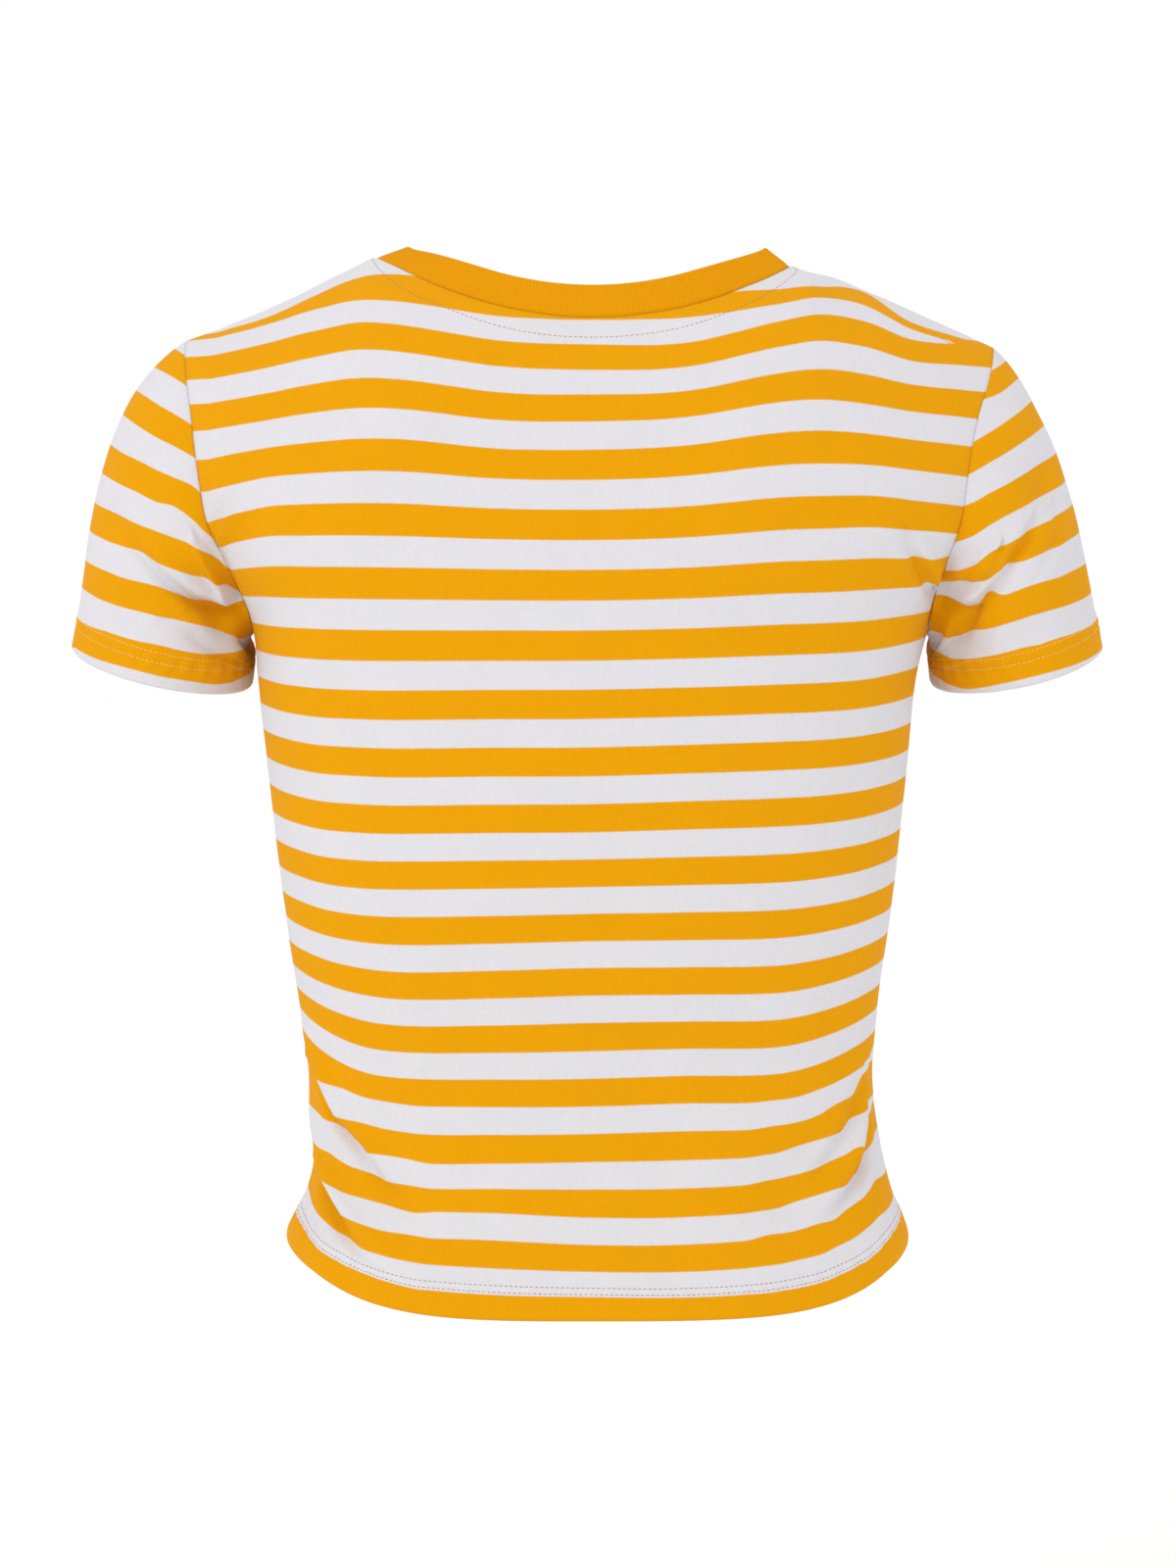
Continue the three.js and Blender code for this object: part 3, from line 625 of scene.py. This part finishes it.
# Where two pieces meet they share one normal, so that a fold crosses the seam unbroken.
seamNormals = {}
for edge in (0, -1):
    both = unit(normals["back"][:, edge] + normals["front"][:, edge])
    for panel in ("back", "front"):
        seamNormals[panel, edge] = both.copy()
for name, sleeve in sleeves.items():
    edge = -1 if sleeve["side"] > 0 else 0
    ring = normals["sleeve_" + name][0]
    body = armholeRing(normals["back"], normals["front"], sleeve["side"])
    both = unit(ring + body)
    seamNormals["sleeve_" + name] = both
    seamNormals["back", edge][-upper - 1 : -1] = both[::2][:upper]
    seamNormals["front", edge][: -upper - 1 : -1] = both[::2][upper:]
topNormals = unit(normals["back"][-1] + normals["front"][-1])
blendWidth = 12


def blended(own, shared, distance):
    share = np.exp(-((distance / blendWidth) ** 2))[..., None]
    return unit(mix(own, shared, share))


print("folds and seams")
shaped = {}
cloth = {}
for panel in ("back", "front"):
    points = base[panel]
    around = lengths(points, 1)
    fromHem = lengths(points, 0)
    toTop = fromHem[-1] - fromHem
    toLeft, toRight = around[:, -1:] - around, around
    out = blended(normals[panel], seamNormals[panel, 0][:, None], toRight)
    out = blended(out, seamNormals[panel, -1][:, None], toLeft)
    atShoulder = np.abs(np.arange(points.shape[1]) - points.shape[1] // 2) > points.shape[1] // 2 - neckColumn
    out = np.where(atShoulder[None, :, None], blended(out, topNormals[None], toTop), out)
    toSeam = np.minimum(np.minimum(toLeft, toRight), toTop)
    x, z = points[..., 0], points[..., 2]
    lines = backLines(x) if panel == "back" else frontLines(points, fromHem)
    upCloth, inside = onStripes(z, lines, below=60)
    height = foldHeight(points, largeFolds) + seamDip(toSeam, z)
    height += hemShape(hems["body"], fromHem, upCloth, around, 1.0)
    height += unevenness(points)
    if panel == "back":
        height += creaseHeight(points, out, toSeam, "back")
    shaped[panel] = points + out * height[..., None]
    centre = around[:, points.shape[1] // 2][:, None]
    cloth[panel] = np.stack([around - centre, upCloth, inside], axis=-1)
    shaped[panel, "normals"] = gridNormals(shaped[panel], facing[panel])

for name, sleeve in sleeves.items():
    key = "sleeve_" + name
    points = base[key]
    fromSeam = lengths(points, 0)
    toCuff = fromSeam[-1] - fromSeam
    closed = np.concatenate([points, points[:, :1]], axis=1)
    around = lengths(closed, 1)
    out = blended(normals[key], seamNormals[key][None], fromSeam)
    height = foldHeight(points, largeFolds) + seamDip(fromSeam, points[..., 2])
    height += hemShape(hems["cuff"], toCuff, toCuff, around[:, :-1], 2.0 + sleeve["side"])
    height += unevenness(points)
    height += creaseHeight(points, out, fromSeam, key)
    size, level, reach = underarmBulge[name]
    atInside = smooth(-174, -158, -np.abs(points[..., 0]))
    height += size * atInside * np.exp(-(((points[..., 2] - level) / reach) ** 2))
    shaped[key] = points + out * height[..., None]
    upCloth, inside = onStripes(closed[..., 2], sleeveLines(closed, name))
    cloth[key] = np.stack([around, upCloth, inside], axis=-1)
    shaped[key, "normals"] = gridNormals(shaped[key], facing[key], True)


# Materials


def linear(hexColour):  # an sRGB hex value as linear light
    parts = [int(hexColour[i : i + 2], 16) / 255 for i in (1, 3, 5)]
    return tuple(c / 12.92 if c <= 0.04045 else ((c + 0.055) / 1.055) ** 2.4 for c in parts) + (1,)


def addNode(tree, kind, settings=None, links=None):  # links: input name or number to a socket or a value
    node = tree.nodes.new(kind)
    for key, value in (settings or {}).items():
        setattr(node, key, value)
    for key, value in (links or {}).items():
        if isinstance(value, bpy.types.NodeSocket):
            tree.links.new(value, node.inputs[key])
        else:
            node.inputs[key].default_value = value
    return node


def maths(tree, operation, first, second=0.0, third=0.0):
    links = {0: first, 1: second, 2: third}
    return addNode(tree, "ShaderNodeMath", {"operation": operation}, links).outputs[0]


def speckle(tree, scale, detail):
    inSpace = addNode(tree, "ShaderNodeTexCoord").outputs["Object"]
    links = {"Vector": inSpace, "Scale": scale, "Detail": detail}
    return addNode(tree, "ShaderNodeTexNoise", None, links).outputs["Fac"]


def colourIn(tree, shader, value, colour):
    node = addNode(tree, "ShaderNodeHueSaturation", None, {"Value": value, "Color": colour})
    tree.links.new(node.outputs[0], shader.inputs["Base Color"])


def finishKnit(tree, shader, relief):  # matte, with a faint nap
    bump = addNode(tree, "ShaderNodeBump", None, relief)
    tree.links.new(bump.outputs[0], shader.inputs["Normal"])
    shader.inputs["Roughness"].default_value = 0.9
    shader.inputs["Specular IOR Level"].default_value = 0.06
    shader.inputs["Sheen Weight"].default_value = 0.02


def newMaterial(name):
    material = bpy.data.materials.new(name)
    material.use_nodes = True
    tree = material.node_tree
    return material, tree, tree.nodes["Principled BSDF"]


jersey = {
    "orange": "#E29B03",
    "white": "#D8D6DA",
    "edge": 0.35,  # how softly one yarn gives way to the next
    "wale": 1.3,  # the real columns of stitches are 0.75 wide, drawn coarser so that they show
    "course": 1.1,  # the real rows are 0.55 high
    "relief": 0.12,
}


def makeJersey():  # yarn-dyed single jersey, soft and matte: a faint nap and fine columns of stitches
    material, tree, shader = newMaterial("yarn-dyed cotton jersey")
    place = addNode(tree, "ShaderNodeUVMap", {"uv_map": "cloth"})
    parts = addNode(tree, "ShaderNodeSeparateXYZ", None, {0: place.outputs[0]})
    across = maths(tree, "MULTIPLY", parts.outputs[0], 1000)
    up = maths(tree, "MULTIPLY", parts.outputs[1], 1000)
    wobble = maths(tree, "MULTIPLY_ADD", speckle(tree, 900, 2), 0.3, -0.15)
    stripePlace = addNode(tree, "ShaderNodeUVMap", {"uv_map": "stripes"})
    stripeParts = addNode(tree, "ShaderNodeSeparateXYZ", None, {0: stripePlace.outputs[0]})
    inside = maths(tree, "MULTIPLY_ADD", stripeParts.outputs[0], 1000, wobble)  # inside an orange stripe
    inStripe = addNode(
        tree,
        "ShaderNodeMapRange",
        {"interpolation_type": "SMOOTHSTEP"},
        {"Value": inside, "From Min": -jersey["edge"], "From Max": jersey["edge"]},
    )
    yarn = addNode(
        tree,
        "ShaderNodeMix",
        {"data_type": "RGBA"},
        {"Factor": inStripe.outputs["Result"], 6: linear(jersey["white"]), 7: linear(jersey["orange"])},
    )
    # slight unevenness of the dye and of the yarn
    fibre = speckle(tree, 520, 3)
    value = maths(tree, "MULTIPLY_ADD", speckle(tree, 38, 3), 0.06, 0.97)
    value = maths(tree, "ADD", value, maths(tree, "MULTIPLY_ADD", fibre, 0.10, -0.05))
    colourIn(tree, shader, value, yarn.outputs[2])
    # columns of stitches, each a pair of slanting legs
    wale = maths(tree, "MULTIPLY", across, 2 * math.pi / jersey["wale"])
    slant = maths(tree, "ABSOLUTE", maths(tree, "SINE", maths(tree, "MULTIPLY", wale, 0.5)))
    course = maths(tree, "MULTIPLY", up, 2 * math.pi / jersey["course"])
    course = maths(tree, "MULTIPLY_ADD", slant, 1.6, course)
    loops = maths(tree, "MULTIPLY_ADD", maths(tree, "SINE", course), 0.35, slant)
    loops = maths(tree, "ADD", loops, maths(tree, "MULTIPLY", fibre, 0.8))
    relief = jersey["relief"] * millimetre
    finishKnit(tree, shader, {"Strength": 0.35, "Distance": relief, "Height": loops})
    shader.inputs["Sheen Roughness"].default_value = 0.5
    return material


rib = {"colour": "#E49A04", "pitch": 1.4, "relief": 0.32}


def makeRib():  # fine cotton rib with a little elastane: matte, in close upright ribs
    material, tree, shader = newMaterial("cotton rib knit")
    place = addNode(tree, "ShaderNodeUVMap", {"uv_map": "cloth"})
    parts = addNode(tree, "ShaderNodeSeparateXYZ", None, {0: place.outputs[0]})
    across = maths(tree, "MULTIPLY", parts.outputs[0], 1000 * 2 * math.pi / rib["pitch"])
    groove = maths(tree, "MULTIPLY_ADD", maths(tree, "COSINE", across), 0.5, 0.5)
    fibre = speckle(tree, 600, 3)
    value = maths(tree, "MULTIPLY_ADD", groove, 0.12, 0.90)
    value = maths(tree, "ADD", value, maths(tree, "MULTIPLY_ADD", fibre, 0.12, -0.06))
    colourIn(tree, shader, value, linear(rib["colour"]))
    finishKnit(tree, shader, {"Strength": 0.3, "Distance": 0.0001, "Height": fibre})
    return material


def makeThread(colour):  # spun polyester sewing thread: smooth, with a slight gloss
    material, tree, shader = newMaterial("spun polyester thread")
    value = maths(tree, "MULTIPLY_ADD", speckle(tree, 1500, 2), 0.3, 0.85)
    colourIn(tree, shader, value, linear(colour))
    shader.inputs["Roughness"].default_value = 0.5
    return material


jerseyMaterial = makeJersey()
ribMaterial = makeRib()
hemThread = makeThread("#A87850")
cuffThread = makeThread("#EFCB85")


# Meshes


def clothObject(name, points, coordinates, facing, material, wall):
    rows, columns = coordinates.shape[:2]
    if points.shape[1] < columns:  # a tube meets itself at its first column
        points = np.concatenate([points, points[:, :1]], axis=1)
    bm = bmesh.new()
    bmesh.ops.create_grid(bm, x_segments=columns - 1, y_segments=rows - 1, size=1)
    bm.verts.index_update()
    spots = []
    for vert in bm.verts:
        column = round((vert.co.x + 1) / 2 * (columns - 1))
        row = round((vert.co.y + 1) / 2 * (rows - 1))
        spots.append((row, column))
    places = points * millimetre
    flat = coordinates * millimetre
    uvLayer = bm.loops.layers.uv.new("cloth")
    stripeLayer = bm.loops.layers.uv.new("stripes") if flat.shape[2] > 2 else None
    for vert, (row, column) in zip(bm.verts, spots):
        vert.co = places[row, column]
    for face in bm.faces:
        face.smooth = True
        for loop in face.loops:
            spot = flat[spots[loop.vert.index]]
            loop[uvLayer].uv = spot[:2]
            if stripeLayer:
                loop[stripeLayer].uv = (spot[2], 0)
    if facing < 0:
        bmesh.ops.reverse_faces(bm, faces=bm.faces)
    thickness = bm.verts.layers.float.new("wall")
    for vert, (row, column) in zip(bm.verts, spots):
        vert[thickness] = wall[row, min(column, wall.shape[1] - 1)]
    bmesh.ops.remove_doubles(bm, verts=bm.verts, dist=1e-6)
    return finishObject(name, bm, material)


def finishObject(name, bm, material):
    mesh = bpy.data.meshes.new(name)
    bm.to_mesh(mesh)
    bm.free()
    mesh.materials.append(material)
    piece = bpy.data.objects.new(name, mesh)
    bpy.context.scene.collection.objects.link(piece)
    return piece


def giveWall(piece, thickest):  # cloth of uneven thickness, inwards from the outer face
    group = piece.vertex_groups.new(name="wall")
    values = [item.value for item in piece.data.attributes["wall"].data]
    for index, value in enumerate(values):
        group.add([index], value / thickest, "REPLACE")
    piece.data.attributes.remove(piece.data.attributes["wall"])
    solid = piece.modifiers.new("wall", "SOLIDIFY")
    solid.thickness = thickest * millimetre
    solid.offset = -1
    solid.vertex_group = "wall"
    solid.use_even_offset = True


jerseyWall, hemWall = 1.1, 1.9
print("panels and sleeves")
pieces = {}
for key in ("back", "front", "sleeve_left", "sleeve_right"):
    distance = lengths(base[key], 0)
    distance = distance[-1] - distance if wraps[key] else cloth[key][..., 1]
    depth = hems["cuff" if wraps[key] else "body"]["depth"]
    wall = mix(hemWall, jerseyWall, smooth(depth - 1, depth + 1, distance))
    piece = clothObject(key + "_cloth", shaped[key], cloth[key], facing[key], jerseyMaterial, wall)
    giveWall(piece, hemWall)
    pieces[key] = piece

print("neckband")
band = {
    "width": 16.4,
    "wall": 2.4,
    "leanFront": 14,
    "leanLeft": 20,
    "leanRight": 37,
    "easeRight": 0.16,  # how much narrower it is at the right end of the neck
    "leanBack": 66,
    "ribColumns": 6,  # columns of the mesh to a rib
}


def neckRing():
    left = base["back"].shape[1] - 1 - neckColumn
    back = base["back"][-1, neckColumn : left]
    front = base["front"][-1, left : neckColumn : -1]
    return np.concatenate([back, front])


def evenRing(ring, count):  # the same closed line with even steps
    closed = np.concatenate([ring, ring[:1]])
    along = lengths(closed[None], 1)[0]
    at = np.linspace(0, along[-1], count + 1)[:-1]
    return np.stack([np.interp(at, along, closed[:, k]) for k in range(3)], axis=-1), along[-1]


def makeNeckband():
    _, total = evenRing(neckRing(), 8)
    ribs = round(total / rib["pitch"])
    count = ribs * band["ribColumns"]
    ring, total = evenRing(neckRing(), count)
    smoothing = 24
    shifts = range(-smoothing, smoothing + 1)
    soft = sum(np.roll(ring, shift, 0) for shift in shifts) / (2 * smoothing + 1)
    along = np.roll(soft, -smoothing, 0) - np.roll(soft, smoothing, 0)
    inward = unit(np.stack([along[:, 1], -along[:, 0], 0 * along[:, 0]], axis=-1))
    inward *= -np.sign((inward * soft).sum(-1, keepdims=True))
    behind = np.sin(np.arctan2(soft[:, 1], soft[:, 0]))
    middle = np.where(behind > 0, band["leanBack"], band["leanFront"])
    atSide = np.where(soft[:, 0] > 0, band["leanLeft"], band["leanRight"])
    turnUp = np.where(behind > 0, smooth(0.1, 0.78, behind), behind**2)
    lean = np.radians(mix(atSide, middle, turnUp))[:, None]
    heading = inward * np.cos(lean)
    heading[:, 2] = np.sin(lean[:, 0])
    ease = 1 - band["easeRight"] * np.where(soft[:, 0] < 0, 1 - turnUp, 0)[:, None]
    outward = unit(np.cross(unit(along), heading))
    outward *= -np.sign((outward * inward).sum(-1, keepdims=True))
    half = band["wall"] / 2
    flatTop = band["width"] - half
    turns = np.linspace(0, np.pi, 7)[1:-1]
    profile = [(s, 0, 1) for s in np.linspace(0, flatTop, 9)]
    profile += [(flatTop + half * math.sin(a), half * (math.cos(a) - 1), 0.6) for a in turns]
    profile += [(s, -band["wall"], 1) for s in np.linspace(flatTop, 0, 5)]
    phase = np.arange(count) / band["ribColumns"]
    relief = -rib["relief"] * (0.5 - 0.5 * np.cos(2 * np.pi * phase)) ** 1.5
    rows = []
    for s, depth, ribShare in profile:
        dip = -clothEdge["neckRoll"] * math.exp(-((s / clothEdge["seamWidth"]) ** 2))
        dip = dip if depth == 0 else 0
        facingOut = 1 if depth > -half else -1
        rise = depth + dip + facingOut * relief * ribShare
        rows.append(ring + heading * ease * s + outward * rise[:, None])
    points = np.stack(rows)
    u = np.linspace(0, total, count + 1) + rib["pitch"] / 2
    v = np.array([s for s, _, _ in profile])
    coordinates = np.stack(np.meshgrid(u, v), axis=-1)
    wall = np.zeros(points.shape[:2])
    piece = clothObject("neckband_rib", points, coordinates, -1, ribMaterial, wall)
    piece.data.attributes.remove(piece.data.attributes["wall"])
    mesh = bmesh.new()
    mesh.from_mesh(piece.data)
    openEdges = [edge for edge in mesh.edges if edge.is_boundary]
    bmesh.ops.bridge_loops(mesh, edges=openEdges)
    mesh.to_mesh(piece.data)
    mesh.free()
    return piece


pieces["neckband"] = makeNeckband()


print("stitches")
stitch = {"pitch": 2.2, "length": 1.7, "radius": 0.14, "sunk": 0.02}
rowShift = 1.4  # the second row of stitches starts this much later
edgeRows = {"hem": 40, "neck": 30}  # mesh rows from an edge within which its stitches lie


def lineAt(points, outs, distance, target):  # the line on a grid at one distance from an edge
    line = []
    heads = []
    for k in range(points.shape[1]):
        order = np.argsort(distance[:, k])
        line.append([np.interp(target, distance[order, k], points[order, k, c]) for c in range(3)])
        heads.append([np.interp(target, distance[order, k], outs[order, k, c]) for c in range(3)])
    return np.array(line), unit(np.array(heads))


def stitchTemplate():
    bm = bmesh.new()
    bmesh.ops.create_uvsphere(bm, u_segments=6, v_segments=5, radius=1)
    mesh = bpy.data.meshes.new("stitch")
    bm.to_mesh(mesh)
    bm.free()
    return mesh


template = stitchTemplate()


def sample(values, along, where):  # a point on a line of values, at one length along it
    return np.array([np.interp(where, along, values[:, c]) for c in range(3)])


def stitchLine(bm, line, heads, offset):
    along = lengths(line[None], 1)[0]
    at = np.arange(offset, along[-1] - stitch["length"], stitch["pitch"])
    for start in at:
        a = sample(line, along, start)
        b = sample(line, along, start + stitch["length"])
        head = unit(sample(heads, along, start + stitch["length"] / 2))
        way = unit(b - a)
        sideways = np.cross(head, way)
        middle = (a + b) / 2 + head * stitch["sunk"]
        sizes = (np.linalg.norm(b - a) / 2, stitch["radius"] * 1.25, stitch["radius"])
        columns = [axis * size for axis, size in zip((way, sideways, head), sizes)]
        turned = [[columns[c][r] for c in range(3)] + [middle[r]] for r in range(3)]
        one = template.copy()
        one.transform(Matrix.Scale(millimetre, 4) @ Matrix(turned + [[0, 0, 0, 1]]))
        bm.from_mesh(one)
        bpy.data.meshes.remove(one)


def threadObject(name, lines, material):
    bm = bmesh.new()
    for line, heads, offset in lines:
        stitchLine(bm, line, heads, offset)
    for face in bm.faces:
        face.smooth = True
    bmesh.ops.recalc_face_normals(bm, faces=bm.faces)
    return finishObject(name, bm, material)


def closeRing(line, heads):
    return np.concatenate([line, line[:1]]), np.concatenate([heads, heads[:1]])


hemLines = []
for number, row in enumerate(hems["body"]["rows"]):
    ends = []
    for panel in ("back", "front"):
        upCloth = cloth[panel][..., 1]
        rows = slice(None, edgeRows["hem"])
        ends.append(lineAt(shaped[panel][rows], shaped[panel, "normals"][rows], upCloth[rows], row))
    line = np.concatenate([ends[0][0], ends[1][0][::-1]])
    heads = np.concatenate([ends[0][1], ends[1][1][::-1]])
    hemLines.append(closeRing(line, heads) + (number * rowShift,))
pieces["bodyHemThread"] = threadObject("body_hem_thread", hemLines, hemThread)
for name in sleeves:
    key = "sleeve_" + name
    distance = lengths(base[key], 0)
    distance = distance[-1] - distance
    cuffLines = []
    for number, row in enumerate(hems["cuff"]["rows"]):
        rows = slice(-edgeRows["hem"], None)
        found = lineAt(shaped[key][rows], shaped[key, "normals"][rows], distance[rows], row)
        cuffLines.append(closeRing(*found) + (number * rowShift,))
    pieces["cuffThread" + name] = threadObject("cuff_thread_" + name, cuffLines, cuffThread)

# The row of stitches that holds the tape inside the back neck: across, and how far below the edge
neckTape = [(-97, 1), (-92, 8), (-84, 12.5), (-60, 12.5), (0, 11), (60, 13), (88, 15.5), (97, 12), (105, 1)]
toNeck = lengths(base["back"], 0)
toNeck = toNeck[-1] - toNeck
topX = base["back"][-1, :, 0]
tapeLine = []
for column in np.where((topX > neckTape[0][0]) & (topX < neckTape[-1][0]))[0]:
    target = float(readTable(neckTape, 1, topX[column]))
    rows = slice(-edgeRows["neck"], None)
    spot = (rows, slice(column, column + 1))
    tapeLine.append(lineAt(shaped["back"][spot], shaped["back", "normals"][spot], toNeck[spot], target))
line = np.concatenate([item[0] for item in tapeLine])
heads = np.concatenate([item[1] for item in tapeLine])
pieces["neckTapeThread"] = threadObject("neck_tape_thread", [(line, heads, 0.0)], hemThread)

print("frame")
for key in ("back", "front", "sleeve_left", "sleeve_right", "neckband"):
    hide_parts(key)
for key, piece in pieces.items():
    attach(piece, "root")

print("camera, light and floor")
view = {
    "place": (0.0009, 1.5, -0.1637),
    "aim": (0.0009, 0, -0.234),
    "lens": 76.8,
    "filmHeight": 36,
}
camera = bpy.data.objects.new("camera", bpy.data.cameras.new("camera"))
bpy.context.scene.collection.objects.link(camera)
camera.location = view["place"]
camera.rotation_euler = (Vector(view["aim"]) - camera.location).to_track_quat("-Z", "Y").to_euler()
camera.data.lens = view["lens"]
camera.data.sensor_fit = "VERTICAL"
camera.data.sensor_height = view["filmHeight"]
bpy.context.scene.camera = camera
bpy.context.scene.view_settings.view_transform = "Standard"

world = bpy.data.worlds.new("studio")
world.use_nodes = True
world.node_tree.nodes["Background"].inputs["Color"].default_value = (1, 1, 1, 1)
world.node_tree.nodes["Background"].inputs["Strength"].default_value = 1.0
bpy.context.scene.world = world


def addLight(name, place, aim, size, power):  # metres and watts
    light = bpy.data.lights.new(name, "AREA")
    light.size = size
    light.energy = power
    lamp = bpy.data.objects.new(name, light)
    lamp.location = place
    lamp.rotation_euler = (Vector(aim) - Vector(place)).to_track_quat("-Z", "Y").to_euler()
    bpy.context.scene.collection.objects.link(lamp)


addLight("key", (1.5, 2.2, 1.4), (0, 0, -0.25), 1.2, 15)

floor = {"z": -0.78, "size": 60}
bm = bmesh.new()
bmesh.ops.create_grid(bm, x_segments=1, y_segments=1, size=floor["size"] / 2)
bmesh.ops.translate(bm, verts=bm.verts, vec=(0, 0, floor["z"]))
floorMaterial, _, floorShader = newMaterial("matte white studio paper")  # even and unglossy
floorShader.inputs["Base Color"].default_value = linear("#FFFFFF")
floorShader.inputs["Roughness"].default_value = 0.95
finishObject("floor", bm, floorMaterial)
